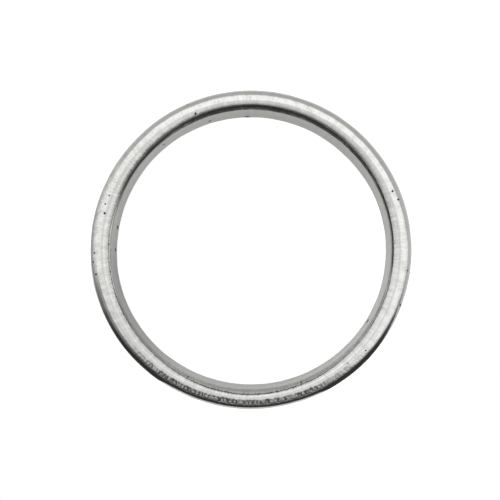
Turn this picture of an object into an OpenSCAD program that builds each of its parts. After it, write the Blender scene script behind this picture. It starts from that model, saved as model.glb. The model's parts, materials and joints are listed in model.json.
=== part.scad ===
// Folded steel sealing ring for an exhaust pipe joint
//
// One strip of thin sheet is folded into a hollow ring with a D-shaped section. Beside the bore
// it has an upright wall, and at each end of the wall a tight knee, a short slant and a wide
// fold. Each fold runs out into a narrow flat seat, and a bulged outer side joins the two seats
// over the whole height. The strip's two edges meet in an open seam on the upper fold. The ring
// lies on its lower seat, at z = 0, with its axis along z.

/* [Ring] */
// Bore, across the inner wall
bore_d = 60; // [40:0.5:90]
// Height from seat to seat
ring_h = 6.6; // [5.5:0.1:8]
// Width of each flat seat
seat_w = 0.7; // [0.1:0.05:2]

/* [Inner folds] */
// Outside radius of the wide fold beside each seat
fold_r = 1.9; // [1:0.05:2.5]
// Outside radius of the tight knee beside the wall
knee_r = 0.5; // [0.5:0.05:0.7]
// Length of the straight slant between the knee and the fold
slant_l = 0.5; // [0.1:0.05:0.7]

/* [Outer side] */
// Outside radius of the two shoulders, beside the seats
shoulder_r = 1.8; // [1.5:0.05:2.4]

/* [Sheet] */
// Thickness of the strip
sheet_t = 0.4; // [0.2:0.05:0.45]

/* [Seam] */
// Place of the seam on the upper fold, in degrees down from the seat towards the wall
seam_angle = 32; // [10:1:45]
// Open gap between the strip's two edges
seam_gap = 0.08; // [0.04:0.01:0.2]
// Bevel on the outer corner of each edge
seam_bevel = 0.1; // [0.05:0.01:0.15]

/* [Hidden] */

// Facets of the ring as OpenSCAD previews it, and of the arcs in its section
RING_FACETS = 240;
ARC_FACETS = 96;
// How far a cutting shape runs past the sheet it cuts
OVERRUN = 0.5;

mid = ring_h / 2;
bore_r = bore_d / 2;

// The slant climbs 4 for every 3 across, and the flank meets its shoulders at the same lean:
// across is the sine of that lean and up is its cosine
across = 4 / 5;
up = 3 / 5;

// Width of a fold with its slant and knee, and how far the knee's centre is below the seat
fold_w = knee_r * (1 - across) + slant_l * up + fold_r * across;
knee_drop = fold_r * (1 - up) + slant_l * across + knee_r * up;

// Distances from the axis to both edges of the seats
seat_in = bore_r + fold_w;
seat_out = seat_in + seat_w;

// The flank is one arc that touches both shoulders
flank_r = shoulder_r + (mid - shoulder_r) / up;

// Centres of the arcs, as distance from the axis and height
knee_at = [bore_r + knee_r, ring_h - knee_drop];
fold_at = [seat_in, ring_h - fold_r];
shoulder_at = [seat_out, ring_h - shoulder_r];
flank_at = [seat_out - (flank_r - shoulder_r) * across, mid];

// Straight-sided core of the section's upper half, from the bulge to the wall, drawn in by
// inset. It runs in to the centre of each arc, where a wedge of a disc fills the corner.
function core(inset) = [
    shoulder_at,
    [seat_out, ring_h - inset],
    [seat_in, ring_h - inset],
    fold_at,
    fold_at + (fold_r - inset) * [-across, up],
    knee_at + (knee_r - inset) * [-across, up],
    knee_at,
    [bore_r + inset, knee_at.y]
];

// The same points in the lower half, from the wall back to the bulge
function mirrored(points) = [
    for (i = [len(points) - 1 : -1 : 0]) [points[i].x, ring_h - points[i].y]
];

// Area between two opposite corners
module block(low, high) {
    translate(low)
        square(high - low);
}

// The part of a disc between two directions from its centre, anticlockwise from first to last
module wedge(centre, radius, first, last) {
    reach = radius / across + OVERRUN;
    intersection() {
        translate(centre)
            circle(r = radius, $fn = ARC_FACETS);
        polygon([centre, centre + reach * first, centre + reach * last]);
    }
}

// A wedge in the upper half and its mirror image in the lower half
module wedge_pair(centre, radius, first, last) {
    wedge(centre, radius, first, last);
    wedge([centre.x, ring_h - centre.y], radius, [last.x, -last.y], [first.x, -first.y]);
}

// The D-shaped outline of the section, drawn in by inset on every side
module outline(inset) {
    polygon(concat([flank_at], core(inset), mirrored(core(inset))));
    wedge_pair(knee_at, knee_r - inset, [-across, up], [-1, 0]);
    wedge_pair(fold_at, fold_r - inset, [0, 1], [-across, up]);
    wedge_pair(shoulder_at, shoulder_r - inset, [across, up], [0, 1]);
    wedge(flank_at, flank_r - inset, [across, -up], [across, up]);
}

// Slot between the strip's edges, with its mouth bevelled open, square to the upper fold
module seam_slot() {
    mouth = seam_gap / 2 + seam_bevel;
    translate(fold_at)
        rotate(seam_angle)
            translate([0, fold_r]) {
                block([-seam_gap / 2, -sheet_t - OVERRUN], [seam_gap / 2, OVERRUN]);
                polygon([
                    [-seam_gap / 2, -seam_bevel],
                    [seam_gap / 2, -seam_bevel],
                    [mouth, 0],
                    [mouth, OVERRUN],
                    [-mouth, OVERRUN],
                    [-mouth, 0]
                ]);
            }
}

// The strip seen end on
module folded_strip() {
    difference() {
        outline(0);
        outline(sheet_t);
        seam_slot();
    }
}

// The whole ring, one piece of folded sheet
module gasket_ring() {
    color("silver")
        rotate_extrude($fn = RING_FACETS)
            folded_strip();
}

gasket_ring();
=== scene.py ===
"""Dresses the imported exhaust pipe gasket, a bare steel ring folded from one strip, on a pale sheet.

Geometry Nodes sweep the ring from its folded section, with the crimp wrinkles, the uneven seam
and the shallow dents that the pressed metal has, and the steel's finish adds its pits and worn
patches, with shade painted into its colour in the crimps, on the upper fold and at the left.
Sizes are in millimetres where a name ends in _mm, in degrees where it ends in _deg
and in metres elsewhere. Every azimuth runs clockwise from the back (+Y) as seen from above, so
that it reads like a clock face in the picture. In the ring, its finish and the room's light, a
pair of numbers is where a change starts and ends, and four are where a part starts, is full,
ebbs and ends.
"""

import json
import logging
import math
from dataclasses import dataclass
from functools import reduce

import bmesh
import bpy
from mathutils import Matrix, Vector

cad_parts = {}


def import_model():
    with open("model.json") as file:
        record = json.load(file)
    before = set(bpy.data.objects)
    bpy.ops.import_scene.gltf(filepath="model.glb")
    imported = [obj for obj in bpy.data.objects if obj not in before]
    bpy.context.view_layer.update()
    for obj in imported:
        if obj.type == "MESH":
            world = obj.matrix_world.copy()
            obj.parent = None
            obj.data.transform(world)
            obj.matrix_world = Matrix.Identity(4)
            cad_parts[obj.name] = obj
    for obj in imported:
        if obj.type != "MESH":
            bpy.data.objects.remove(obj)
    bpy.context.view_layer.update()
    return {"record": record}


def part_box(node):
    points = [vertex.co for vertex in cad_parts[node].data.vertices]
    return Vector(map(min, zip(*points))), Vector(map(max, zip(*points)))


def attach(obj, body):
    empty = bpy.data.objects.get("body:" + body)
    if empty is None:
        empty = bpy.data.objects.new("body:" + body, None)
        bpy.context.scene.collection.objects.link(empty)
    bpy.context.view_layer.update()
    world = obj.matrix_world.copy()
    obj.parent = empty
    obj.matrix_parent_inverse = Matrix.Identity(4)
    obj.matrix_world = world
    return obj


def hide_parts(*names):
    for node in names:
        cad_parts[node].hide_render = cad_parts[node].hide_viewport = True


LOG = logging.getLogger("gasket")
MM = 0.001
# Radius at which the strip is unrolled for its patterns
MIDDLE_MM = 32.5
# What each point of the section tells the sweep, beside its place
SECTION_FACTS = ("tilt", "along", "outer", "edge", "sway")

Socket = bpy.types.NodeSocket


@dataclass(frozen=True)
class Noise:
    """How fine a noise is.

    Attributes:
        scale: Its frequency.
        detail: How many octaves it has.
        roughness: How strong the finer octaves are.
        levels: The levels at which its patches start and are full.
    """

    scale: float
    detail: float
    roughness: float = 0.5
    levels: tuple = (0.0, 1.0)


class NodeBuilder:
    """Adds nodes to a tree and links them, so that a pattern reads as a short list of steps."""

    def __init__(self, tree: bpy.types.NodeTree) -> None:
        """Starts on a tree."""
        self.tree = tree

    def node(self, name: str, **settings: object) -> bpy.types.Node:
        """Adds one node.

        Args:
            name: The node's type, such as ShaderNodeMath.
            **settings: Properties of the node to set.

        Returns:
            The new node.
        """
        made = self.tree.nodes.new(name)
        for key, value in settings.items():
            setattr(made, key, value)
        return made

    def feed(self, socket: Socket, value: object) -> None:
        """Links a socket to another one, or gives it a constant.

        Args:
            socket: The input to fill.
            value: An output socket, a number, a sequence or an object.
        """
        if isinstance(value, Socket):
            self.tree.links.new(value, socket)
        else:
            socket.default_value = value

    def after(self, flow: object, name: str, inputs: dict, **settings: object) -> Socket:
        """Adds a node that changes geometry.

        Args:
            flow: The geometry that goes in.
            name: The node's type.
            inputs: Its other inputs, by name.
            **settings: Properties of the node to set.

        Returns:
            The changed geometry's socket.
        """
        made = self.node(name, **settings)
        self.feed(made.inputs[0], flow)
        for key, value in inputs.items():
            self.feed(made.inputs[key], value)
        return made.outputs[0]

    def math(self, operation: str, *values: object, clamp: bool = False) -> Socket:
        """Adds a Math node.

        Args:
            operation: The Math node's operation.
            *values: Its inputs, in order, as sockets or numbers.
            clamp: Whether the result is kept from 0 to 1.

        Returns:
            The result's socket.
        """
        made = self.node("ShaderNodeMath", operation=operation, use_clamp=clamp)
        for socket, value in zip(made.inputs, values):
            self.feed(socket, value)
        return made.outputs[0]

    def plus(self, *values: object) -> Socket:
        """Adds numbers."""
        return reduce(lambda first, second: self.math("ADD", first, second), values)

    def minus(self, first: object, second: object) -> Socket:
        """Takes the second number from the first."""
        return self.math("SUBTRACT", first, second)

    def times(self, *values: object) -> Socket:
        """Multiplies numbers."""
        return reduce(lambda first, second: self.math("MULTIPLY", first, second), values)

    def largest(self, *values: object) -> Socket:
        """Gives the largest of some numbers."""
        return reduce(lambda first, second: self.math("MAXIMUM", first, second), values)

    def spread(self, noise: object, width: float) -> Socket:
        """Moves a noise's middle from 0.5 to 0 and gives it a width."""
        return self.times(self.minus(noise, 0.5), width)

    def ramp(
        self, value: object, low: object, high: object, first: object = 0.0, last: object = 1.0
    ) -> Socket:
        """Goes smoothly from one number to another.

        Args:
            value: What is measured.
            low: The value at which the result leaves the first number.
            high: The value at which it reaches the last number. It may be smaller than low.
            first: The result before low.
            last: The result past high.

        Returns:
            The result's socket.
        """
        made = self.node("ShaderNodeMapRange", interpolation_type="SMOOTHSTEP")
        names = ("Value", "From Min", "From Max", "To Min", "To Max")
        for name, item in zip(names, (value, low, high, first, last)):
            self.feed(made.inputs[name], item)
        return made.outputs["Result"]

    def window(self, value: object, start: float, full: float, ebb: float, end: float) -> Socket:
        """Is 1 between two limits and eases to 0 outside them.

        Args:
            value: What is measured.
            start: Where it starts to rise.
            full: Where it has risen.
            ebb: Where it starts to fall.
            end: Where it has fallen.

        Returns:
            The result's socket.
        """
        return self.times(self.ramp(value, start, full), self.ramp(value, end, ebb))

    def blend(self, factor: object, first: object, second: object) -> Socket:
        """Mixes two numbers.

        Args:
            factor: 0 gives the first and 1 the second.
            first: The value at 0.
            second: The value at 1.

        Returns:
            The result's socket.
        """
        # A Mix node's inputs go by number, because its kinds share their names
        made = self.node("ShaderNodeMix", data_type="FLOAT")
        for index, value in ((0, factor), (2, first), (3, second)):
            self.feed(made.inputs[index], value)
        return made.outputs[0]

    def colour(self, factor: object, first: object, second: object) -> Socket:
        """Mixes two colours.

        Args:
            factor: 0 gives the first and 1 the second.
            first: The colour at 0.
            second: The colour at 1.

        Returns:
            The result's socket.
        """
        made = self.node("ShaderNodeMix", data_type="RGBA")
        for index, value in ((0, factor), (6, first), (7, second)):
            self.feed(made.inputs[index], value)
        return made.outputs[2]

    def vector(self, operation: str, *values: object) -> Socket:
        """Adds a Vector Math node.

        Args:
            operation: The node's operation, one that gives a vector.
            *values: Its vector inputs, in order.

        Returns:
            The resulting vector's socket.
        """
        made = self.node("ShaderNodeVectorMath", operation=operation)
        for socket, value in zip(made.inputs, values):
            self.feed(socket, value)
        return made.outputs["Vector"]

    def compare(self, operation: str, first: object, second: object) -> Socket:
        """Compares two vectors.

        Args:
            operation: The Vector Math node's operation, one that gives a number.
            first: The first vector.
            second: The second vector.

        Returns:
            The resulting number's socket.
        """
        made = self.node("ShaderNodeVectorMath", operation=operation)
        self.feed(made.inputs[0], first)
        self.feed(made.inputs[1], second)
        return made.outputs["Value"]

    def join(self, x: object, y: object, z: object) -> Socket:
        """Makes a vector of three numbers.

        Args:
            x: Its first part.
            y: Its second part.
            z: Its third part.

        Returns:
            The vector's socket.
        """
        made = self.node("ShaderNodeCombineXYZ")
        for socket, value in zip(made.inputs, (x, y, z)):
            self.feed(socket, value)
        return made.outputs[0]

    def split(self, vector: object) -> list[Socket]:
        """Gives the three numbers of a vector.

        Args:
            vector: The vector.

        Returns:
            The sockets of its parts.
        """
        made = self.node("ShaderNodeSeparateXYZ")
        self.feed(made.inputs[0], vector)
        return list(made.outputs)

    def noise(self, vector: object, kind: Noise) -> Socket:
        """Adds a Noise Texture.

        Args:
            vector: Where it is read.
            kind: How fine it is.

        Returns:
            The noise's socket, about 0.5 on average.
        """
        made = self.node("ShaderNodeTexNoise")
        names = ("Vector", "Scale", "Detail", "Roughness")
        for name, value in zip(names, (vector, kind.scale, kind.detail, kind.roughness)):
            self.feed(made.inputs[name], value)
        return made.outputs[0]

    def patches(self, vector: object, kind: Noise) -> Socket:
        """Turns a noise into patches, from 0 outside to 1 inside."""
        return self.ramp(self.noise(vector, kind), *kind.levels)

    def unrolled(self, circle: object, along: object) -> Socket:
        """Gives a place in millimetres for patterns that close round the ring.

        Args:
            circle: The azimuth as a point on the unit circle.
            along: Distance along the strip, in millimetres.

        Returns:
            The place, round the ring in its x and y and along the strip in its z.
        """
        ring_mm = self.vector("MULTIPLY", circle, (MIDDLE_MM, MIDDLE_MM, 0.0))
        return self.vector("ADD", ring_mm, self.join(0.0, 0.0, along))


@dataclass(frozen=True)
class Sector:
    """A part of the ring round one azimuth, with soft ends.

    Attributes:
        azimuth_deg: Its middle.
        start: The cosine of the angle from there at which it starts.
        full: The cosine of the angle at which it is full.
        inside: What holds where it is full.
        outside: What holds elsewhere.
    """

    azimuth_deg: float
    start: float
    full: float
    inside: float = 1.0
    outside: float = 0.0

    def mark(self, build: NodeBuilder, circle: object) -> Socket:
        """Gives what holds at one azimuth.

        Args:
            build: The tree's builder.
            circle: The azimuth as a point on the unit circle.

        Returns:
            The number, from outside to inside.
        """
        turn = math.radians(self.azimuth_deg)
        nearness = build.compare("DOT_PRODUCT", circle, (math.sin(turn), math.cos(turn), 0.0))
        return build.ramp(nearness, self.start, self.full, self.outside, self.inside)


@dataclass(frozen=True)
class SectionPoint:
    """One point of the strip's section.

    Attributes:
        radius: Distance from the ring's axis, in millimetres.
        height: Height above the lower seat, in millimetres.
        tilt: How far the metal's outward normal leans from upright, in radians, outward positive.
        along: Distance along the strip's outer face from the edge at the top of the inner wall,
            in millimetres.
        outer: 1 on the face that shows and 0 on the one inside the hollow.
        edge: -1 at the wall's edge of the seam, 1 at the crown's edge, 0 elsewhere.
        sway: How far the point follows the seam as that wanders over the fold, from 0 to 1.
    """

    radius: float
    height: float
    tilt: float
    along: float
    outer: float
    edge: float
    sway: float


@dataclass
class StripSection:
    """The folded strip seen end on, with the sizes that the solid has and a finer seam.

    The lean is the sine and cosine of the angle between the slant's normal and upright. The
    hollow's face gets its own share of the outer face's steps. The sway gain widens the stretch
    on each side of the seam that wholly follows it.
    """

    bore_radius_mm: float
    height_mm: float
    outer_radius_mm: float
    fold_radius_mm: float = 1.9
    knee_radius_mm: float = 0.5
    slant_mm: float = 0.5
    lean: tuple = (0.8, 0.6)
    shoulder_radius_mm: float = 1.8
    sheet_mm: float = 0.4
    seam_deg: float = 32.0
    seam_gap_mm: float = 0.06
    seam_bevel_mm: float = 0.05
    sway_gain: float = 1.1
    knee_steps: int = 3
    fold_steps: int = 8
    slant_steps: int = 2
    wall_steps: int = 4
    seat_steps: int = 6
    shoulder_steps: int = 15
    flank_steps: int = 10
    hollow_share: float = 0.3

    @property
    def flank_radius_mm(self) -> float:
        """Radius of the one arc that joins both shoulders outside."""
        return self.shoulder_radius_mm + (self.height_mm / 2 - self.shoulder_radius_mm) / self.lean[1]

    @property
    def seat_mm(self) -> tuple[float, float]:
        """Distances from the axis to both edges of the flat seats."""
        across, up = self.lean
        knee, fold = self.knee_radius_mm * (1 - across), self.fold_radius_mm * across
        bulge = self.flank_radius_mm - (self.flank_radius_mm - self.shoulder_radius_mm) * across
        return self.bore_radius_mm + knee + self.slant_mm * up + fold, self.outer_radius_mm - bulge

    @property
    def knee_drop_mm(self) -> float:
        """How far the centre of the tight knee beside the wall is below the seat."""
        across, up = self.lean
        return self.fold_radius_mm * (1 - up) + self.slant_mm * across + self.knee_radius_mm * up

    @property
    def strip_mm(self) -> float:
        """Length of the strip's outer face, from edge to edge."""
        return max(point.along for point in self.points())

    @staticmethod
    def _arc(centre: tuple, radius: float, start: float, end: float, steps: int) -> list:
        """Samples an arc by the tilt of its normal.

        Args:
            centre: Its centre, as radius and height.
            radius: Its own radius.
            start: The first tilt, in degrees.
            end: The last tilt, in degrees.
            steps: How many steps it has.

        Returns:
            Rows of radius, height and tilt.
        """
        rows = []
        for step in range(steps + 1):
            tilt = math.radians(start + (end - start) * step / steps)
            rows.append((centre[0] + radius * math.sin(tilt), centre[1] + radius * math.cos(tilt), tilt))
        return rows

    @staticmethod
    def _line(start: tuple, end: tuple, steps: int) -> list:
        """Samples the inside of a straight run, without its ends, at the tilt of its start.

        Args:
            start: The radius, height and tilt where it starts.
            end: The same where it ends.
            steps: How many steps it has.

        Returns:
            Rows of radius, height and tilt.
        """
        rows = []
        for step in range(1, steps):
            radius, height = (start[i] + (end[i] - start[i]) * step / steps for i in (0, 1))
            rows.append((radius, height, start[2]))
        return rows

    def _face(self, inset: float, share: float) -> list:
        """Walks the strip from the wall's edge, down the wall and round the outside to the crown's edge.

        Args:
            inset: 0 for the outer face, or the sheet's thickness for the hollow's face.
            share: The part of the full number of steps to use.

        Returns:
            Rows of radius, height and tilt.
        """
        radii = (self.knee_radius_mm, self.fold_radius_mm, self.shoulder_radius_mm, self.flank_radius_mm)
        knee, fold, shoulder, flank = (radius - inset for radius in radii)
        counts = (self.knee_steps, self.fold_steps, self.shoulder_steps, self.flank_steps)
        knees, folds, shoulders, flanks = (max(1, round(count * share)) for count in counts)
        walls, seats = (max(1, round(count * share)) for count in (self.wall_steps, self.seat_steps))
        top, turn = self.height_mm, math.degrees(math.asin(self.lean[0]))
        seat_in, seat_out = self.seat_mm
        knee_x = self.bore_radius_mm + self.knee_radius_mm
        flank_x = self.outer_radius_mm - self.flank_radius_mm
        half_gap = math.degrees((self.seam_gap_mm / 2 + self.seam_bevel_mm) / self.fold_radius_mm)
        fold_high, fold_low = (seat_in, top - self.fold_radius_mm), (seat_in, self.fold_radius_mm)
        shoulder_low, shoulder_high = self.shoulder_radius_mm, top - self.shoulder_radius_mm
        # The short run beyond the seam and the hidden lower shoulder need fewer steps
        runs = [
            self._arc(fold_high, fold, -self.seam_deg - half_gap, -turn, max(1, folds // 2)),
            self._arc((knee_x, top - self.knee_drop_mm), knee, -turn, -90, knees),
            self._arc((knee_x, self.knee_drop_mm), knee, -90, turn - 180, knees),
            self._arc(fold_low, fold, turn - 180, -180, folds),
            self._arc((seat_out, shoulder_low), shoulder, 180, 180 - turn, max(1, shoulders // 3)),
            self._arc((flank_x, top / 2), flank, 180 - turn, turn, flanks)[1:-1],
            self._arc((seat_out, shoulder_high), shoulder, turn, 0, shoulders),
            self._arc(fold_high, fold, 0, -self.seam_deg + half_gap, folds),
        ]
        straights = (self.slant_steps, walls, self.slant_steps, 1, 1, 1, seats)
        rows = list(runs[0])
        for run, steps in zip(runs[1:], straights):
            rows += self._line(rows[-1], run[0], steps) + run
        return rows

    def points(self) -> list[SectionPoint]:
        """Gives the whole outline as a closed loop.

        Returns:
            The points, from the wall's edge along the outer face and back through the hollow.
        """
        outer = self._face(0, 1)
        hollow = self._face(self.sheet_mm, self.hollow_share)
        lengths = [0.0]
        for before, here in zip(outer, outer[1:]):
            lengths.append(lengths[-1] + math.dist(before[:2], here[:2]))
        last = len(outer) - 1
        found = []
        for index, (row, length) in enumerate(zip(outer, lengths)):
            edge = -1.0 if index == 0 else 1.0 if index == last else 0.0
            found.append(SectionPoint(*row, length, 1.0, edge, self._sway(row)))
        found.append(self._lip(1.0, lengths[-1]))
        for index, row in enumerate(reversed(hollow)):
            along = lengths[-1] * (1 - index / len(hollow))
            found.append(SectionPoint(*row, along, 0.0, 0.0, self._sway(row)))
        found.append(self._lip(-1.0, 0.0))
        return found

    def _sway(self, row: tuple) -> float:
        """Tells how far a point follows the seam: wholly beside it, not at all past the fold's ends.

        Args:
            row: The point's radius, height and tilt.

        Returns:
            A share from 0 to 1.
        """
        if row[1] < self.height_mm / 2:
            return 0.0
        down, seam, last = -math.degrees(row[2]), self.seam_deg, math.degrees(math.asin(self.lean[0]))
        share = down / seam if down < seam else (last - down) / (last - seam)
        return min(1.0, max(0.0, share * self.sway_gain))

    def _lip(self, side: float, along: float) -> SectionPoint:
        """Makes the bevel's foot on one of the strip's two edges.

        Args:
            side: 1 for the crown's edge or -1 for the wall's.
            along: Where it is along the strip.

        Returns:
            The point where the bevel meets the cut face.
        """
        radius = self.fold_radius_mm - self.seam_bevel_mm
        tilt = math.radians(-self.seam_deg) + side * self.seam_gap_mm / 2 / radius
        high = self.height_mm - self.fold_radius_mm
        spot = (self.seat_mm[0] + radius * math.sin(tilt), high + radius * math.cos(tilt))
        return SectionPoint(*spot, tilt, along, 1.0, side, 1.0)

    def mesh_object(self) -> bpy.types.Object:
        """Makes a loose row of points, in millimetres, that the sweep reads by index.

        Returns:
            The helper object, with each point's facts as attributes.
        """
        points = self.points()
        mesh = bpy.data.meshes.new("strip_section")
        mesh.from_pydata([(point.radius, 0, point.height) for point in points], [], [])
        for name in SECTION_FACTS:
            layer = mesh.attributes.new(name, "FLOAT", "POINT")
            layer.data.foreach_set("value", [getattr(point, name) for point in points])
        helper = bpy.data.objects.new("strip_section", mesh)
        bpy.context.scene.collection.objects.link(helper)
        return helper


@dataclass(frozen=True)
class Pit:
    """A dark pit or fleck of scale in the steel.

    Attributes:
        azimuth_deg: Where it is round the ring.
        radius_mm: How far it is from the axis.
        height_mm: How high it is above the lower seat.
        size_mm: Its own radius.
    """

    azimuth_deg: float
    radius_mm: float
    height_mm: float
    size_mm: float

    def place(self) -> Vector:
        """Gives its place in metres."""
        turn = math.radians(self.azimuth_deg)
        x, y = self.radius_mm * math.sin(turn), self.radius_mm * math.cos(turn)
        return Vector((x, y, self.height_mm)) * MM


PITS = (
    Pit(358.4, 29.6, 1.75, 0.60),
    Pit(319.8, 29.68, 3.9, 0.34),
    Pit(329.2, 34.57, 5.0, 0.22),
    Pit(336.0, 33.72, 6.23, 0.20),
    Pit(342.2, 29.64, 3.0, 0.32),
    Pit(337.5, 31.12, 6.42, 0.28),
    Pit(278.9, 29.76, 2.6, 0.50),
    Pit(269.3, 29.82, 2.5, 0.45),
    Pit(271.2, 30.4, 5.84, 0.20),
    Pit(267.8, 33.25, 6.49, 0.24),
    Pit(260.0, 33.29, 6.47, 0.26),
    Pit(264.5, 33.63, 6.29, 0.24),
    Pit(260.0, 30.41, 5.86, 0.20),
    Pit(283.0, 31.92, 6.6, 0.28),
    Pit(286.5, 32.3, 6.6, 0.20),
    Pit(290.0, 32.1, 6.6, 0.18),
    Pit(297.2, 34.1, 5.83, 0.24),
    Pit(68.5, 32.47, 6.6, 0.26),
    Pit(72.2, 32.96, 6.57, 0.26),
    Pit(98.5, 33.56, 6.33, 0.20),
    Pit(122.2, 30.0, 3.0, 0.50),
    Pit(111.2, 34.05, 5.90, 0.42),
    Pit(132.0, 32.42, 6.6, 0.18),
    Pit(140.2, 31.69, 6.59, 0.18),
    Pit(159.5, 30.4, 5.84, 0.24),
    Pit(205.8, 30.4, 5.84, 0.22),
)


@dataclass
class GasketRing:
    """The gasket itself: one folded strip, swept round the axis and dressed.

    The crimp is the rough band of zig-zag wrinkles beside the crown, the flat is where the outer
    side is pressed in front, and the bore is where the wall's foot leans inwards. Both paths are
    pairs of azimuth and value. The crimp's wave is shifted by its jitter, in radians, and by its
    slant, in radians for each millimetre along the strip.
    """

    section: StripSection
    around: int = 1000
    weld_mm: float = 0.001
    seam_path_deg: tuple = (
        (0, 35), (15, 38), (30, 40.5), (45, 43.5), (60, 47), (80, 51),
        (130, 51), (150, 41), (165, 35), (180, 30.5), (195, 34), (210, 42),
        (225, 50), (240, 51.5), (310, 51.5), (330, 45), (345, 39.5), (360, 35),
    )
    lip_noise: Noise = Noise(14.0, 3.0)
    lip_wander_mm: float = 0.10
    crimp_count: int = 236
    crimp_depth_mm: float = 0.07
    crimp_mm: tuple = (0.98, 1.32, 2.0, 2.3)
    crimp_deg: tuple = (125, 163, 207, 245)
    crimp_edge: Noise = Noise(24.0, 3.0)
    crimp_edge_mm: float = 0.7
    crimp_patches: Noise = Noise(6.0, 3.0, levels=(0.5, 0.75))
    crimp_patch_share: float = 0.25
    crimp_gaps: Noise = Noise(70.0, 2.0, levels=(0.35, 0.6))
    crimp_jitter: Noise = Noise(45.0, 3.0)
    crimp_jitter_shift: float = 9.0
    crimp_slant: float = 3.4
    crimp_wave: tuple = (-0.2, 0.8)
    dent_depth_mm: float = 0.05
    dent_broad: Noise = Noise(0.16, 2.0, levels=(0.35, 0.75))
    dent_fine: Noise = Noise(0.9, 2.0, levels=(0.4, 0.8))
    dent_fine_share: float = 0.25
    bore_path_mm: tuple = (
        (0, 0.33), (20, 0.33), (45, 0.30), (60, 0.12), (75, 0.0), (250, 0.0),
        (268, 0.18), (285, 0.27), (320, 0.27), (345, 0.29), (360, 0.33),
    )
    bore_radius_mm: tuple = (31.6, 30.5)
    bore_height_mm: tuple = (2.0, 5.0)
    bore_top_share: float = 0.28
    bore_left_share: float = 0.95
    bore_left_deg: tuple = (270, 294, 326, 350)
    flat_depth_mm: float = 0.18
    flat_deg: tuple = (115, 172, 203, 256)
    flat_radius_mm: tuple = (33.0, 34.5)
    squash: float = 0.9965

    def build(self, material: bpy.types.Material) -> bpy.types.Object:
        """Sweeps the strip and makes it a plain mesh.

        Args:
            material: The finish it wears.

        Returns:
            The finished ring, its place in its mesh.
        """
        helper = self.section.mesh_object()
        carrier = bpy.data.objects.new("gasket_sweep", bpy.data.meshes.new("gasket_sweep"))
        bpy.context.scene.collection.objects.link(carrier)
        modifier = carrier.modifiers.new("sweep", "NODES")
        inputs = self._inputs(helper, material)
        modifier.node_group = self._tree(inputs)
        values = {name: value for name, _, value in inputs}
        for item in modifier.node_group.interface.items_tree:
            if item.item_type == "SOCKET" and item.in_out == "INPUT" and item.name in values:
                modifier[item.identifier] = values[item.name]
        bpy.context.view_layer.update()
        graph = bpy.context.evaluated_depsgraph_get()
        mesh = bpy.data.meshes.new_from_object(carrier.evaluated_get(graph))
        mesh.name = "folded_ring"
        ring = bpy.data.objects.new("folded_ring", mesh)
        bpy.context.scene.collection.objects.link(ring)
        carrier.modifiers.remove(modifier)
        for spare in (carrier, helper):
            data = spare.data
            bpy.data.objects.remove(spare)
            bpy.data.meshes.remove(data)
        self._face_outwards(mesh)
        return ring

    @staticmethod
    def _face_outwards(mesh: bpy.types.Mesh) -> None:
        """Turns every face of the closed strip outwards.

        Args:
            mesh: The swept strip.
        """
        work = bmesh.new()
        work.from_mesh(mesh)
        bmesh.ops.recalc_face_normals(work, faces=work.faces)
        work.to_mesh(mesh)
        work.free()

    def _inputs(self, helper: bpy.types.Object, material: bpy.types.Material) -> list[tuple]:
        """Lists the sweep's inputs, with lengths in millimetres.

        Args:
            helper: The row of section points.
            material: The finish the ring wears.

        Returns:
            Rows of name, kind and value.
        """
        section = self.section
        return [
            ("Section", "Object", helper),
            ("Section Points", "Int", len(helper.data.vertices)),
            ("Around", "Int", self.around),
            ("Strip", "Float", section.strip_mm),
            ("Seam Angle", "Float", math.radians(section.seam_deg)),
            ("Fold Reach", "Float", section.seat_mm[0]),
            ("Fold Level", "Float", section.height_mm - section.fold_radius_mm),
            ("Crimp Count", "Int", self.crimp_count),
            ("Crimp Depth", "Float", self.crimp_depth_mm),
            ("Dent Depth", "Float", self.dent_depth_mm),
            ("Flat Depth", "Float", self.flat_depth_mm),
            ("Squash", "Float", self.squash),
            ("Finish", "Material", material),
        ]

    def _tree(self, inputs: list[tuple]) -> bpy.types.NodeTree:
        """Builds the sweep, which works in millimetres up to its last step.

        Args:
            inputs: Rows of its named inputs' names, kinds and values.

        Returns:
            The Geometry Nodes tree.
        """
        tree = bpy.data.node_groups.new("sweep_strip", "GeometryNodeTree")
        for name, kind, _ in [("Geometry", "Geometry", None), *inputs]:
            tree.interface.new_socket(name, in_out="INPUT", socket_type="NodeSocket" + kind)
        tree.interface.new_socket("Geometry", in_out="OUTPUT", socket_type="NodeSocketGeometry")
        build = NodeBuilder(tree)
        given = build.node("NodeGroupInput").outputs

        grid = build.node("GeometryNodeMeshGrid")
        for name, value in (
            ("Size X", 1.0),
            ("Size Y", 1.0),
            ("Vertices X", build.plus(given["Section Points"], 1)),
            ("Vertices Y", build.plus(given["Around"], 1)),
        ):
            build.feed(grid.inputs[name], value)
        place = build.split(build.node("GeometryNodeInputPosition").outputs[0])
        column = build.times(build.plus(place[0], 0.5), given["Section Points"])
        column = build.math("MODULO", build.math("ROUND", column), given["Section Points"])
        azimuth = build.times(build.plus(place[1], 0.5), 360.0)
        turn = build.math("RADIANS", azimuth)
        circle = build.join(build.math("SINE", turn), build.math("COSINE", turn), 0.0)

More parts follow.
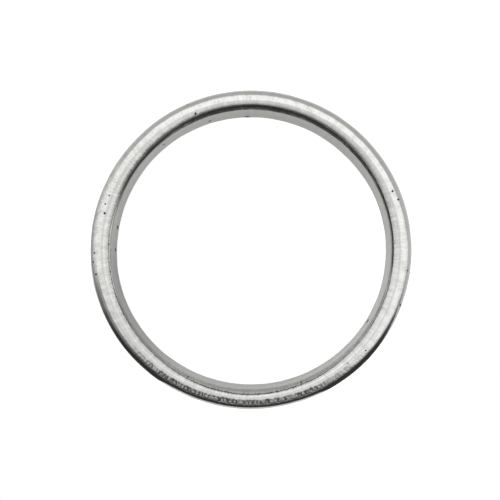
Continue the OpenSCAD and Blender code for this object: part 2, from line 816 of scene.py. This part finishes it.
        spot, tilt, along, outer, edge, sway = self._facts(build, given, column)
        swing = build.minus(given["Seam Angle"], self._seam(build, azimuth))
        swing = build.times(swing, sway)
        tilt = build.plus(tilt, swing)
        radius, height = self._swing(build, given, spot, swing)
        reach = build.minus(given["Strip"], along)
        press = self._press(build, azimuth, reach, circle)
        crimp = build.times(self._crimp(build, given, turn, reach, circle), press)
        sink = build.times(build.plus(crimp, self._dent(build, given, along, circle)), outer)
        lip = build.spread(build.noise(circle, self.lip_noise), self.lip_wander_mm)
        lip = build.times(lip, build.math("ABSOLUTE", edge))
        outwards, upwards = build.math("SINE", tilt), build.math("COSINE", tilt)
        radius = build.minus(radius, build.times(sink, outwards))
        radius = build.plus(radius, build.times(lip, upwards))
        height = build.minus(height, build.times(sink, upwards))
        height = build.minus(height, build.times(lip, outwards))
        radius = build.minus(radius, self._flat(build, given, azimuth, radius))
        radius = build.minus(radius, self._bore(build, azimuth, radius, height))

        target = build.vector("MULTIPLY", circle, build.join(radius, radius, 0.0))
        target = build.vector("MULTIPLY", target, build.join(1.0, given["Squash"], 0.0))
        target = build.vector("ADD", target, build.join(0.0, 0.0, height))
        target = build.vector("MULTIPLY", target, (MM, MM, MM))
        flow = grid.outputs["Mesh"]
        for name, value in (("along", along), ("press", press), ("crease", crimp)):
            layer = {"Name": name, "Value": value}
            flow = build.after(flow, "GeometryNodeStoreNamedAttribute", layer, data_type="FLOAT")
        for name, values in (
            ("GeometryNodeSetPosition", {"Position": target}),
            ("GeometryNodeMergeByDistance", {"Distance": self.weld_mm * MM}),
            ("GeometryNodeSetShadeSmooth", {}),
            ("GeometryNodeRealizeInstances", {}),
            ("GeometryNodeSetMaterial", {"Material": given["Finish"]}),
        ):
            flow = build.after(flow, name, values)
        build.feed(build.node("NodeGroupOutput").inputs["Geometry"], flow)
        return tree

    @staticmethod
    def _facts(build: NodeBuilder, given: object, column: object) -> list[Socket]:
        """Reads the section point of one column of the grid.

        Args:
            build: The tree's builder.
            given: The tree's named inputs.
            column: The point's number.

        Returns:
            Its place, and then its facts in the order of SECTION_FACTS.
        """
        info = build.node("GeometryNodeObjectInfo", transform_space="ORIGINAL")
        build.feed(info.inputs["Object"], given["Section"])
        sources = [("FLOAT_VECTOR", build.node("GeometryNodeInputPosition").outputs[0])]
        for name in SECTION_FACTS:
            source = build.node("GeometryNodeInputNamedAttribute", data_type="FLOAT")
            build.feed(source.inputs["Name"], name)
            sources.append(("FLOAT", source.outputs["Attribute"]))
        found = []
        for kind, source in sources:
            sample = build.node("GeometryNodeSampleIndex", data_type=kind, domain="POINT")
            build.feed(sample.inputs["Geometry"], info.outputs["Geometry"])
            build.feed(sample.inputs["Value"], source)
            build.feed(sample.inputs["Index"], column)
            found.append(sample.outputs["Value"])
        return found

    @staticmethod
    def _curve(build: NodeBuilder, azimuth: object, path: tuple, full: float) -> Socket:
        """Follows a value round the ring.

        Args:
            build: The tree's builder.
            azimuth: The azimuth, in degrees.
            path: Pairs of azimuth and value, from 0 to 360 degrees.
            full: The value that gives 1.

        Returns:
            The value's share of full.
        """
        made = build.node("ShaderNodeFloatCurve")
        points = made.mapping.curves[0].points
        places = [(turn / 360, value / full) for turn, value in path]
        points[0].location, points[1].location = places[0], places[-1]
        for place in places[1:-1]:
            points.new(*place)
        made.mapping.update()
        build.feed(made.inputs["Value"], build.math("DIVIDE", azimuth, 360.0))
        return made.outputs[0]

    def _seam(self, build: NodeBuilder, azimuth: object) -> Socket:
        """Follows the seam as it wanders over the upper fold.

        Args:
            build: The tree's builder.
            azimuth: The azimuth, in degrees.

        Returns:
            How far down the fold the seam is there, in radians.
        """
        right_angle = 90.0
        share = self._curve(build, azimuth, self.seam_path_deg, right_angle)
        return build.times(share, math.radians(right_angle))

    @staticmethod
    def _swing(build: NodeBuilder, given: object, spot: object, swing: object) -> tuple:
        """Turns a point about the upper fold's centre, so that the seam wanders over the fold.

        Args:
            build: The tree's builder.
            given: The tree's named inputs.
            spot: The point, with its radius as x and its height as z.
            swing: The angle, in radians, outward positive.

        Returns:
            The turned point's radius and height.
        """
        radius, _, height = build.split(spot)
        out, rise = build.minus(radius, given["Fold Reach"]), build.minus(height, given["Fold Level"])
        cosine, sine = build.math("COSINE", swing), build.math("SINE", swing)
        radius = build.plus(build.times(out, cosine), build.times(rise, sine))
        height = build.minus(build.times(rise, cosine), build.times(out, sine))
        return build.plus(radius, given["Fold Reach"]), build.plus(height, given["Fold Level"])

    def _bore(self, build: NodeBuilder, azimuth: object, radius: object, height: object) -> Socket:
        """Leans the wall inwards at the back and the left, mostly at its foot.

        Args:
            build: The tree's builder.
            azimuth: The azimuth, in degrees.
            radius: Distance from the axis, in millimetres.
            height: Height above the lower seat, in millimetres.

        Returns:
            How far the metal is further in, in millimetres.
        """
        push = self._curve(build, azimuth, self.bore_path_mm, 1.0)
        near = build.ramp(radius, *self.bore_radius_mm)
        left = build.window(azimuth, *self.bore_left_deg)
        share = build.blend(left, self.bore_top_share, self.bore_left_share)
        return build.times(push, near, build.ramp(height, *self.bore_height_mm, 1.0, share))

    def _flat(self, build: NodeBuilder, given: object, azimuth: object, radius: object) -> Socket:
        """Presses the outer side flat in front.

        Args:
            build: The tree's builder.
            given: The tree's named inputs.
            azimuth: The azimuth, in degrees.
            radius: Distance from the axis, in millimetres.

        Returns:
            How far the metal is further in, in millimetres.
        """
        pressed = build.window(azimuth, *self.flat_deg)
        return build.times(pressed, build.ramp(radius, *self.flat_radius_mm), given["Flat Depth"])

    def _press(self, build: NodeBuilder, azimuth: object, reach: object, circle: object) -> Socket:
        """Marks the rough band that the folding tool left beside the crown, heaviest in front.

        Args:
            build: The tree's builder.
            azimuth: The azimuth, in degrees.
            reach: Distance along the strip from the crown's edge at the seam, in millimetres.
            circle: The azimuth as a point on the unit circle.

        Returns:
            How heavy the band is, from 0 to 1.
        """
        ragged = build.spread(build.noise(circle, self.crimp_edge), self.crimp_edge_mm)
        band = build.window(build.plus(reach, ragged), *self.crimp_mm)
        worst = build.window(azimuth, *self.crimp_deg)
        patchy = build.times(build.patches(circle, self.crimp_patches), self.crimp_patch_share)
        return build.times(band, build.largest(worst, patchy))

    def _crimp(
        self, build: NodeBuilder, given: object, turn: object, reach: object, circle: object
    ) -> Socket:
        """Sinks the zig-zag wrinkles inside the rough band.

        Args:
            build: The tree's builder.
            given: The tree's named inputs.
            turn: The azimuth, in radians.
            reach: Distance along the strip from the crown's edge at the seam, in millimetres.
            circle: The azimuth as a point on the unit circle.

        Returns:
            The depth, in millimetres.
        """
        jitter = build.times(build.noise(circle, self.crimp_jitter), self.crimp_jitter_shift)
        phase = build.plus(build.times(turn, given["Crimp Count"]), jitter)
        slant = build.times(reach, self.crimp_slant)
        waves = (build.plus(phase, slant), build.minus(phase, slant))
        folds = [build.ramp(build.math("SINE", wave), *self.crimp_wave) for wave in waves]
        gaps = build.patches(circle, self.crimp_gaps)
        return build.times(build.largest(*folds), gaps, given["Crimp Depth"])

    def _dent(self, build: NodeBuilder, given: object, along: object, circle: object) -> Socket:
        """Sinks the broad, shallow unevenness of pressed sheet.

        Args:
            build: The tree's builder.
            given: The tree's named inputs.
            along: Distance along the strip, in millimetres.
            circle: The azimuth as a point on the unit circle.

        Returns:
            The depth, in millimetres.
        """
        spot = build.unrolled(circle, along)
        fine = build.times(build.patches(spot, self.dent_fine), self.dent_fine_share)
        return build.times(build.plus(build.patches(spot, self.dent_broad), fine), given["Dent Depth"])


@dataclass(frozen=True)
class SteelSpot:
    """What the finish knows of one spot on the strip, each as a socket.

    Attributes:
        place: The Object coordinates, in metres.
        circle: The azimuth as a point on the unit circle.
        unrolled: The place for patterns, in millimetres.
        along: Distance along the strip from the wall's edge at the seam, in millimetres.
        reach: The same distance from the crown's edge.
        mottle: Broad blotches, about 0.5 on average.
        streak: Short marks across the strip, about 0.5 on average.
        grain: The finest grain, about 0.5 on average.
    """

    place: Socket
    circle: Socket
    unrolled: Socket
    along: Socket
    reach: Socket
    mottle: Socket
    streak: Socket
    grain: Socket


@dataclass(frozen=True)
class SteelFinish:
    """Pressed steel strip: satin grey as rolled, burnished bright over the crown, with dark pits.

    Sizes in millimetres are distances along the strip: from the wall's edge for the rubbed part,
    the knee and the painted shade on the upper fold, from the nearer edge for the dirt on the lips,
    and from the crown's edge for the others. Only those of the creases and the relief are depths.
    """

    strip_mm: float
    pits: tuple[Pit, ...]

    # Colours and roughness
    bright: tuple = (0.76, 0.765, 0.745, 1.0)
    worn: tuple = (0.60, 0.60, 0.58, 1.0)
    satin: tuple = (0.41, 0.41, 0.395, 1.0)
    satin_dark: tuple = (0.35, 0.35, 0.335, 1.0)
    # Painted shade: the satin metal darkened at the front left
    shaded_satin: tuple = (0.31, 0.31, 0.30, 1.0)
    # Painted shade: the dark line down the outer flank at the left
    rim: tuple = (0.17, 0.17, 0.165, 1.0)
    # The pressed band's colour, with the shade of its wrinkles painted in
    pressed: tuple = (0.095, 0.095, 0.09, 1.0)
    # Near black, for the dirt, the pits and the painted shade
    near_black: tuple = (0.03, 0.028, 0.026, 1.0)
    bright_rough: float = 0.10
    worn_rough: float = 0.26
    satin_rough: float = 0.165
    coarse_rough: float = 0.6

    # Noises, and how far they sway the line round the crown
    mottle: Noise = Noise(0.75, 4.0, 0.6)
    streak: Noise = Noise(2.6, 3.0, 0.6)
    streak_stretch: float = 0.22
    grain: Noise = Noise(7.0, 2.0, 0.6)
    wander_mm: float = 0.22

    # Burnished metal
    burnish_mm: tuple = (2.08, 1.95)
    burnish_wide_mm: Sector = Sector(135.0, 0.297, 0.799, 0.35)
    burnish_narrow_mm: Sector = Sector(240.0, 0.88, 0.98, 0.15)
    rubbed_mm: tuple = (1.15, 0.80)
    rubbed_part: Sector = Sector(268.0, 0.93, 0.99, 0.8)
    frayed_mm: tuple = (2.95, 2.05)
    frayed_wander_mm: float = 1.1
    frayed_part: Sector = Sector(280.0, 0.89, 0.98, 0.75)

    # Dull patches, painted shade that dulls the left side, specks and the worn line beside the seam
    mottle_share: float = 0.6
    # Painted shade: the left side is made duller, so darker in colour, and rougher over the crown
    left_shade: Sector = Sector(270.0, 0.55, 0.95, 0.06)
    specks: Noise = Noise(2.8, 2.0, 0.6, (0.55, 0.70))
    speck_strength: Sector = Sector(262.0, 0.55, 0.90, 0.42, 0.10)
    worn_mm: tuple = (0.12, 0.32, 0.70, 1.0)
    worn_back: Sector = Sector(40.0, 0.25, 0.95, 0.17, 0.06)
    worn_front: Sector = Sector(215.0, 0.75, 0.95, 2.2, 1.0)
    dull_levels: tuple = (0.42, 0.74)

    # Painted shade at the front left and on the outer flank at the left, soft knee, and the pressed band
    # with painted shade
    shaded_satin_part: Sector = Sector(243.0, 0.83, 0.97)
    rim_shade_mm: tuple = (2.75, 3.3, 7.0, 8.0)
    rim_shade_part: Sector = Sector(262.0, 0.87, 0.97)
    knee_mm: tuple = (0.62, 0.74, 0.98, 1.08)
    knee_part: Sector = Sector(195.0, 0.35, 0.75)
    press_levels: tuple = (0.70, 0.35)

    # Painted shade in the crimp creases and on the upper fold, dirt on the seam's lips, specks and pits
    crease_mm: tuple = (0.015, 0.05)
    crease_levels: tuple = (0.30, 0.60)
    crease_strength: float = 0.92
    lip_dirt_mm: tuple = (0.28, 0.05)
    lip_dirt_levels: tuple = (0.42, 0.62)
    lip_dirt_strength: Sector = Sector(180.0, 0.80, 0.94, 0.8, 0.3)
    speckle_mm: tuple = (0.22, 0.0)
    speckle_wander_mm: float = 1.6
    speckle_wide_mm: Sector = Sector(318.0, 0.82, 0.95, 0.16)
    speckle_strength: Sector = Sector(318.0, 0.82, 0.95, 0.75, 0.45)
    # Painted shade on the wall's side of the upper fold, at the back and the right
    fold_shade_mm: tuple = (0.62, 0.25)
    fold_shade_parts: tuple = (Sector(72.0, 0.83, 0.93, 0.9), Sector(0.0, 0.25, 0.50, 0.88))
    fold_shade_wide_mm: tuple = (Sector(82.0, 0.91, 0.97, 0.5), Sector(306.0, 0.91, 0.98, 0.5))
    pit_wander: float = 1.6
    pit_levels: tuple = (1.15, 0.6)

    # Fine relief
    satin_relief: float = 0.25
    crown_relief: float = 0.45
    grain_relief: float = 0.25
    pit_relief: float = 2.0
    relief_mm: float = 0.012
    relief_strength: float = 0.5

    def material(self) -> bpy.types.Material:
        """Builds the material.

        Returns:
            The steel.
        """
        made = bpy.data.materials.new("folded_steel")
        made.use_nodes = True
        made.node_tree.nodes.clear()
        build = NodeBuilder(made.node_tree)
        output = build.node("ShaderNodeOutputMaterial")
        shader = build.node("ShaderNodeBsdfPrincipled")
        build.feed(output.inputs["Surface"], shader.outputs["BSDF"])
        build.feed(shader.inputs["Metallic"], 1.0)

        spot = self._spot(build)
        crown = self._crown(build, spot)
        dull = self._dull(build, spot)
        pit = self._pits(build, spot)
        press = build.times(self._layer(build, "press"), build.ramp(spot.grain, *self.press_levels))
        # Dirt on the seam's lips, specks and pits, with painted shade in the crimp creases and on the
        # upper fold
        grime_and_shade = build.largest(self._crease_shade(build, spot), self._seam_dirt_and_shade(build, spot), pit)
        # Painted shade: the pressed band is darkened in its colour as well as roughened
        tint = build.colour(press, self._tint(build, spot, crown, dull), self.pressed)
        rough = build.blend(dull, self.bright_rough, self.worn_rough)
        rough = build.blend(crown, self.satin_rough, rough)
        knee = build.window(spot.along, *self.knee_mm)
        knee = build.times(knee, self.knee_part.mark(build, spot.circle))
        for mark in (knee, press, grime_and_shade):
            rough = build.blend(mark, rough, self.coarse_rough)
        build.feed(shader.inputs["Base Color"], build.colour(grime_and_shade, tint, self.near_black))
        build.feed(shader.inputs["Roughness"], rough)

        height = build.times(spot.streak, build.blend(crown, self.satin_relief, self.crown_relief))
        height = build.plus(height, build.times(spot.grain, self.grain_relief))
        height = build.minus(height, build.times(pit, self.pit_relief))
        bump = build.node("ShaderNodeBump")
        build.feed(bump.inputs["Strength"], self.relief_strength)
        build.feed(bump.inputs["Distance"], self.relief_mm * MM)
        build.feed(bump.inputs["Height"], height)
        build.feed(shader.inputs["Normal"], bump.outputs["Normal"])
        return made

    @staticmethod
    def _layer(build: NodeBuilder, name: str) -> Socket:
        """Reads one of the ring's own attributes."""
        return build.node("ShaderNodeAttribute", attribute_name=name).outputs["Fac"]

    def _spot(self, build: NodeBuilder) -> SteelSpot:
        """Works out where on the strip a spot is, and its noises.

        Args:
            build: The tree's builder.

        Returns:
            The spot's sockets.
        """
        place = build.node("ShaderNodeTexCoord").outputs["Object"]
        x, y, _ = build.split(place)
        circle = build.vector("NORMALIZE", build.join(x, y, 0.0))
        along = self._layer(build, "along")
        unrolled = build.unrolled(circle, along)
        across = build.vector("MULTIPLY", unrolled, (1.0, 1.0, self.streak_stretch))
        return SteelSpot(
            place=place,
            circle=circle,
            unrolled=unrolled,
            along=along,
            reach=build.minus(self.strip_mm, along),
            mottle=build.noise(unrolled, self.mottle),
            streak=build.noise(across, self.streak),
            grain=build.noise(unrolled, self.grain),
        )

    def _crown(self, build: NodeBuilder, spot: SteelSpot) -> Socket:
        """Marks the burnished metal: the crown, and at the left the rubbed slant and the frayed edge.

        Args:
            build: The tree's builder.
            spot: The spot's sockets.

        Returns:
            How burnished it is, from 0 to 1.
        """
        line = build.minus(spot.reach, self.burnish_wide_mm.mark(build, spot.circle))
        line = build.plus(line, build.spread(spot.mottle, self.wander_mm))
        line = build.plus(line, self.burnish_narrow_mm.mark(build, spot.circle))
        rubbed = build.ramp(spot.along, *self.rubbed_mm)
        frayed = build.plus(spot.reach, build.spread(spot.mottle, self.frayed_wander_mm))
        return build.largest(
            build.ramp(line, *self.burnish_mm),
            build.times(rubbed, self.rubbed_part.mark(build, spot.circle)),
            build.times(build.ramp(frayed, *self.frayed_mm), self.frayed_part.mark(build, spot.circle)),
        )

    def _dull(self, build: NodeBuilder, spot: SteelSpot) -> Socket:
        """Marks the dull patches, the painted shade that dulls the left side, specks and the worn line
        beside the seam.

        Args:
            build: The tree's builder.
            spot: The spot's sockets.

        Returns:
            How dull it is, from 0 to 1.
        """
        specks = build.patches(spot.unrolled, self.specks)
        worn = build.plus(spot.reach, build.spread(spot.mottle, self.wander_mm))
        dull = build.plus(
            build.times(spot.mottle, self.mottle_share),
            build.times(spot.streak, 1.0 - self.mottle_share),
            self.left_shade.mark(build, spot.circle),
            build.times(specks, self.speck_strength.mark(build, spot.circle)),
            build.times(
                build.window(worn, *self.worn_mm),
                self.worn_back.mark(build, spot.circle),
                self.worn_front.mark(build, spot.circle),
            ),
        )
        return build.ramp(dull, *self.dull_levels)

    def _tint(self, build: NodeBuilder, spot: SteelSpot, crown: object, dull: object) -> Socket:
        """Gives the metal its colour, with painted shade at the front left and on the outer flank at the
        left.

        Args:
            build: The tree's builder.
            spot: The spot's sockets.
            crown: How burnished it is.
            dull: How dull it is.

        Returns:
            The colour.
        """
        satin = build.colour(dull, self.satin, self.satin_dark)
        # Painted shade: the satin metal darkened at the front left
        satin = build.colour(self.shaded_satin_part.mark(build, spot.circle), satin, self.shaded_satin)
        tint = build.colour(crown, satin, build.colour(dull, self.bright, self.worn))
        # Painted shade: a dark line down the outer flank at the left
        edge = build.window(spot.reach, *self.rim_shade_mm)
        edge = build.times(edge, self.rim_shade_part.mark(build, spot.circle))
        return build.colour(edge, tint, self.rim)

    def _crease_shade(self, build: NodeBuilder, spot: SteelSpot) -> Socket:
        """Marks the painted shade in the crimp wrinkles, from 0 to 1."""
        deep = build.ramp(self._layer(build, "crease"), *self.crease_mm)
        return build.times(deep, build.ramp(spot.grain, *self.crease_levels), self.crease_strength)

    def _seam_dirt_and_shade(self, build: NodeBuilder, spot: SteelSpot) -> Socket:
        """Marks the dirt on the seam's lips, the specks beside it and the painted shade below it.

        Args:
            build: The tree's builder.
            spot: The spot's sockets.

        Returns:
            How dark it is made, by dirt and by painted shade, from 0 to 1.
        """
        circle = spot.circle
        lip = build.ramp(build.math("MINIMUM", spot.along, spot.reach), *self.lip_dirt_mm)
        lip = build.times(lip, build.ramp(spot.streak, *self.lip_dirt_levels))
        speckle = build.plus(spot.reach, build.spread(spot.grain, self.speckle_wander_mm))
        speckle = build.minus(speckle, self.speckle_wide_mm.mark(build, circle))
        speckle = build.ramp(speckle, *self.speckle_mm)
        # Painted shade on the wall's side of the upper fold
        depth = build.largest(*(part.mark(build, circle) for part in self.fold_shade_wide_mm))
        near_black = build.ramp(build.minus(spot.along, depth), *self.fold_shade_mm)
        return build.largest(
            build.times(lip, self.lip_dirt_strength.mark(build, circle)),
            build.times(speckle, self.speckle_strength.mark(build, circle)),
            build.times(near_black, build.largest(*(part.mark(build, circle) for part in self.fold_shade_parts))),
        )

    def _pits(self, build: NodeBuilder, spot: SteelSpot) -> Socket:
        """Marks the pits, each with a ragged edge.

        Args:
            build: The tree's builder.
            spot: The spot's sockets.

        Returns:
            1 inside a pit and 0 outside.
        """
        shares = []
        for pit in self.pits:
            gap = build.compare("DISTANCE", spot.place, pit.place())
            shares.append(build.math("DIVIDE", gap, pit.size_mm * MM))
        nearest = reduce(lambda first, second: build.math("MINIMUM", first, second), shares)
        ragged = build.plus(nearest, build.spread(spot.grain, self.pit_wander))
        return build.ramp(ragged, *self.pit_levels)


@dataclass(frozen=True)
class StudioLight:
    """How bright the room is, by lean from straight up and by bearing from the front.

    A bearing is positive to the right. The viewer's dark shape stands in front, and its right side
    lies further to the right for directions nearer the horizon. The backdrop is what the camera
    sees past the sheet.
    """

    overhead: float = 0.90
    back: float = 1.27
    back_ebb: float = 0.8
    left: float = 1.06
    front_left: float = 0.90
    low_back: float = 0.85
    low_right: float = 1.15
    low_left: float = 1.05
    viewer_high: float = 0.70
    viewer_low: float = 0.08
    low_front: float = 0.07
    backdrop: float = 1.0

    left_deg: tuple = (-160, -120, -70, -50)
    right_deg: tuple = (50, 75, 105, 130)
    corner_deg: tuple = (-95, -70, -30, -5)
    front_deg: tuple = (-94, -56, 55, 82)
    viewer_left_deg: tuple = (-80, -36)
    viewer_right_deg: tuple = (70, 24)
    viewer_aside_deg: float = 20.05
    back_lean_deg: tuple = (4, 24)
    back_ebb_lean_deg: tuple = (22, 36)
    left_lean_deg: tuple = (8, 36)
    corner_lean_deg: tuple = (4, 18)
    low_lean_deg: tuple = (62, 76)
    viewer_lean_deg: tuple = (10, 19)
    viewer_aside_lean_deg: tuple = (38, 60)
    viewer_shade_lean_deg: tuple = (23, 43)
    front_lean_deg: tuple = (54, 76)

    def strength(self, build: NodeBuilder, aim: list) -> Socket:
        """Works out the room's brightness in one direction.

        Args:
            build: The world tree's builder.
            aim: The direction's three parts.

        Returns:
            The brightness.
        """
        lean = build.math("DEGREES", build.math("ARCCOSINE", aim[2]))
        bearing = build.math("DEGREES", build.math("ARCTAN2", aim[0], build.times(aim[1], -1.0)))
        left = build.window(bearing, *self.left_deg)
        right = build.window(bearing, *self.right_deg)
        light = build.times(
            build.ramp(lean, *self.back_lean_deg, self.overhead, self.back),
            build.ramp(lean, *self.back_ebb_lean_deg, 1.0, self.back_ebb),
        )
        side = build.times(left, build.ramp(lean, *self.left_lean_deg))
        light = build.blend(side, light, self.left)
        corner = build.window(bearing, *self.corner_deg)
        corner = build.times(corner, build.ramp(lean, *self.corner_lean_deg))
        light = build.blend(corner, light, self.front_left)
        low = build.blend(left, build.blend(right, self.low_back, self.low_right), self.low_left)
        light = build.ramp(lean, *self.low_lean_deg, light, low)
        aside = build.ramp(lean, *self.viewer_aside_lean_deg, 0.0, self.viewer_aside_deg)
        viewer = build.times(
            build.ramp(bearing, *self.viewer_left_deg),
            build.ramp(build.minus(bearing, aside), *self.viewer_right_deg),
            build.ramp(lean, *self.viewer_lean_deg),
        )
        shade = build.ramp(lean, *self.viewer_shade_lean_deg, self.viewer_high, self.viewer_low)
        light = build.blend(viewer, light, shade)
        front = build.window(bearing, *self.front_deg)
        front = build.times(front, build.ramp(lean, *self.front_lean_deg))
        return build.blend(front, light, self.low_front)


@dataclass(frozen=True)
class Studio:
    """The pale sheet that the ring lies on, the soft room round it and the camera above it.

    The sheet's rim is pairs of azimuth and distance from the ring's axis. It is near the ring in
    front, so that the metal there reflects the dark room past it.
    """

    camera_height_mm: float = 107.3
    camera_aside_mm: tuple = (0.43, -5.32)
    camera_clip_mm: float = 1.0
    focal_px: float = 476.0
    frame_px: float = 500.0
    ring_centre_px: tuple = (250.8, 247.75)
    sensor_mm: float = 36.0
    sheet_rim_mm: tuple = (
        (0, 900), (102, 900), (113, 60), (121, 41), (131, 36), (150, 36), (160, 47),
        (208, 47), (216, 35.5), (264, 35.5), (280, 60), (300, 900), (360, 900),
    )
    sheet_corners: int = 180
    sheet_colour: tuple = (0.75, 0.75, 0.75, 1.0)
    sheet_lift: float = 0.7
    sheet_gleam: float = 0.23
    light: StudioLight = StudioLight()
    white: tuple = (1.0, 1.0, 1.0, 1.0)
    lamp_size: tuple = (0.30, 0.20)
    lamp_watts: float = 1.25
    lamp_place: tuple = (-0.17, -0.24, 0.5)

    def build(self, middle: Vector) -> None:
        """Makes everything round the ring.

        Args:
            middle: The middle of the ring, in metres.
        """
        self._camera(middle)
        self._sheet()
        self._room()
        self._lamp()
        bpy.context.scene.view_settings.view_transform = "Standard"

    def _camera(self, middle: Vector) -> None:
        """Puts the camera above the ring, a little to the front, looking at its middle.

        Args:
            middle: The middle of the ring, in metres.
        """
        data = bpy.data.cameras.new("camera")
        data.sensor_width = self.sensor_mm
        data.lens = self.focal_px / self.frame_px * self.sensor_mm
        data.clip_start = self.camera_clip_mm * MM
        camera = bpy.data.objects.new("camera", data)
        bpy.context.scene.collection.objects.link(camera)
        camera.location = Vector((*self.camera_aside_mm, self.camera_height_mm)) * MM
        view = (middle - camera.location).normalized()
        right = view.cross(Vector((0.0, 1.0, 0.0))).normalized()
        camera.rotation_euler = Matrix((right, right.cross(view), -view)).transposed().to_euler()
        half = self.frame_px / 2
        data.shift_x = (half - self.ring_centre_px[0]) / self.frame_px
        data.shift_y = (self.ring_centre_px[1] - half) / self.frame_px
        bpy.context.scene.camera = camera

    def _reach_mm(self, azimuth: float) -> float:
        """Tells how far the sheet runs in one direction.

        Args:
            azimuth: The direction, in degrees from 0 to 360.

        Returns:
            The distance from the ring's axis, in millimetres.
        """
        pairs = zip(self.sheet_rim_mm, self.sheet_rim_mm[1:])
        (start, near), (end, far) = next(pair for pair in pairs if azimuth <= pair[1][0])
        return near + (far - near) * (azimuth - start) / (end - start)

    def _sheet(self) -> None:
        """Lays the wide pale sheet under the ring."""
        count = self.sheet_corners
        rim = []
        for step in range(count):
            azimuth = 360.0 * step / count
            reach, turn = self._reach_mm(azimuth) * MM, math.radians(azimuth)
            rim.append((reach * math.sin(turn), reach * math.cos(turn), 0.0))
        faces = [(count, (step + 1) % count, step) for step in range(count)]
        mesh = bpy.data.meshes.new("sheet")
        mesh.from_pydata(rim + [(0.0, 0.0, 0.0)], [], faces)
        sheet = bpy.data.objects.new("sheet", mesh)
        bpy.context.scene.collection.objects.link(sheet)
        mesh.materials.append(self._sheet_material())

    def _sheet_material(self) -> bpy.types.Material:
        """Makes the sheet's matt white, lifted to the backdrop's white where the camera sees it.

        Returns:
            The material.
        """
        made = bpy.data.materials.new("pale_sheet")
        made.use_nodes = True
        made.node_tree.nodes.clear()
        build = NodeBuilder(made.node_tree)
        output = build.node("ShaderNodeOutputMaterial")
        matt = build.node("ShaderNodeBsdfDiffuse")
        build.feed(matt.inputs["Color"], self.sheet_colour)
        lift = build.node("ShaderNodeEmission")
        glossy = build.node("ShaderNodeLightPath").outputs["Is Glossy Ray"]
        gleam = build.times(glossy, self.sheet_gleam)
        build.feed(lift.inputs["Strength"], build.blend(self._seen(build), gleam, self.sheet_lift))
        both = build.node("ShaderNodeAddShader")
        build.feed(both.inputs[0], matt.outputs[0])
        build.feed(both.inputs[1], lift.outputs[0])
        build.feed(output.inputs["Surface"], both.outputs[0])
        return made

    @staticmethod
    def _seen(build: NodeBuilder) -> Socket:
        """Tells whether the camera looks at this directly or through something clear."""
        path = build.node("ShaderNodeLightPath").outputs
        return build.math("ADD", path["Is Camera Ray"], path["Is Transmission Ray"], clamp=True)

    def _room(self) -> None:
        """Surrounds the ring with a bright room that is dark where the viewer stands."""
        world = bpy.data.worlds.new("studio")
        bpy.context.scene.world = world
        world.use_nodes = True
        world.node_tree.nodes.clear()
        build = NodeBuilder(world.node_tree)
        output = build.node("ShaderNodeOutputWorld")
        glow = build.node("ShaderNodeBackground")
        build.feed(glow.inputs["Color"], self.white)
        aim = build.split(build.node("ShaderNodeTexCoord").outputs["Generated"])
        strength = self.light.strength(build, aim)
        strength = build.blend(self._seen(build), strength, self.light.backdrop)
        build.feed(glow.inputs["Strength"], strength)
        build.feed(output.inputs["Surface"], glow.outputs[0])

    def _lamp(self) -> None:
        """Hangs one large soft lamp above the ring, towards the front left, with no reflection."""
        data = bpy.data.lights.new("softbox", "AREA")
        data.shape = "RECTANGLE"
        data.size, data.size_y = self.lamp_size
        data.energy = self.lamp_watts
        lamp = bpy.data.objects.new("softbox", data)
        bpy.context.scene.collection.objects.link(lamp)
        lamp.location = self.lamp_place
        lamp.rotation_euler = (-lamp.location).to_track_quat("-Z", "Y").to_euler()
        lamp.visible_glossy = False


def main() -> None:
    logging.basicConfig(level=logging.INFO, format="%(name)s: %(message)s")
    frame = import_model()
    low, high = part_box("gasket_ring")
    mounts = {mount["name"]: mount for mount in frame["record"]["mounts"]}
    section = StripSection(
        bore_radius_mm=mounts["pipe_bore"]["dims"]["r_mm"],
        height_mm=(high.z - low.z) / MM,
        outer_radius_mm=round(high.x / MM, 2),
    )
    steel = SteelFinish(section.strip_mm, PITS).material()
    ring = GasketRing(section).build(steel)
    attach(ring, "root")
    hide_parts("gasket_ring")
    LOG.info("folded_ring: %d faces, riding on root", len(ring.data.polygons))
    Studio().build((low + high) / 2)


if __name__ == "__main__":
    main()
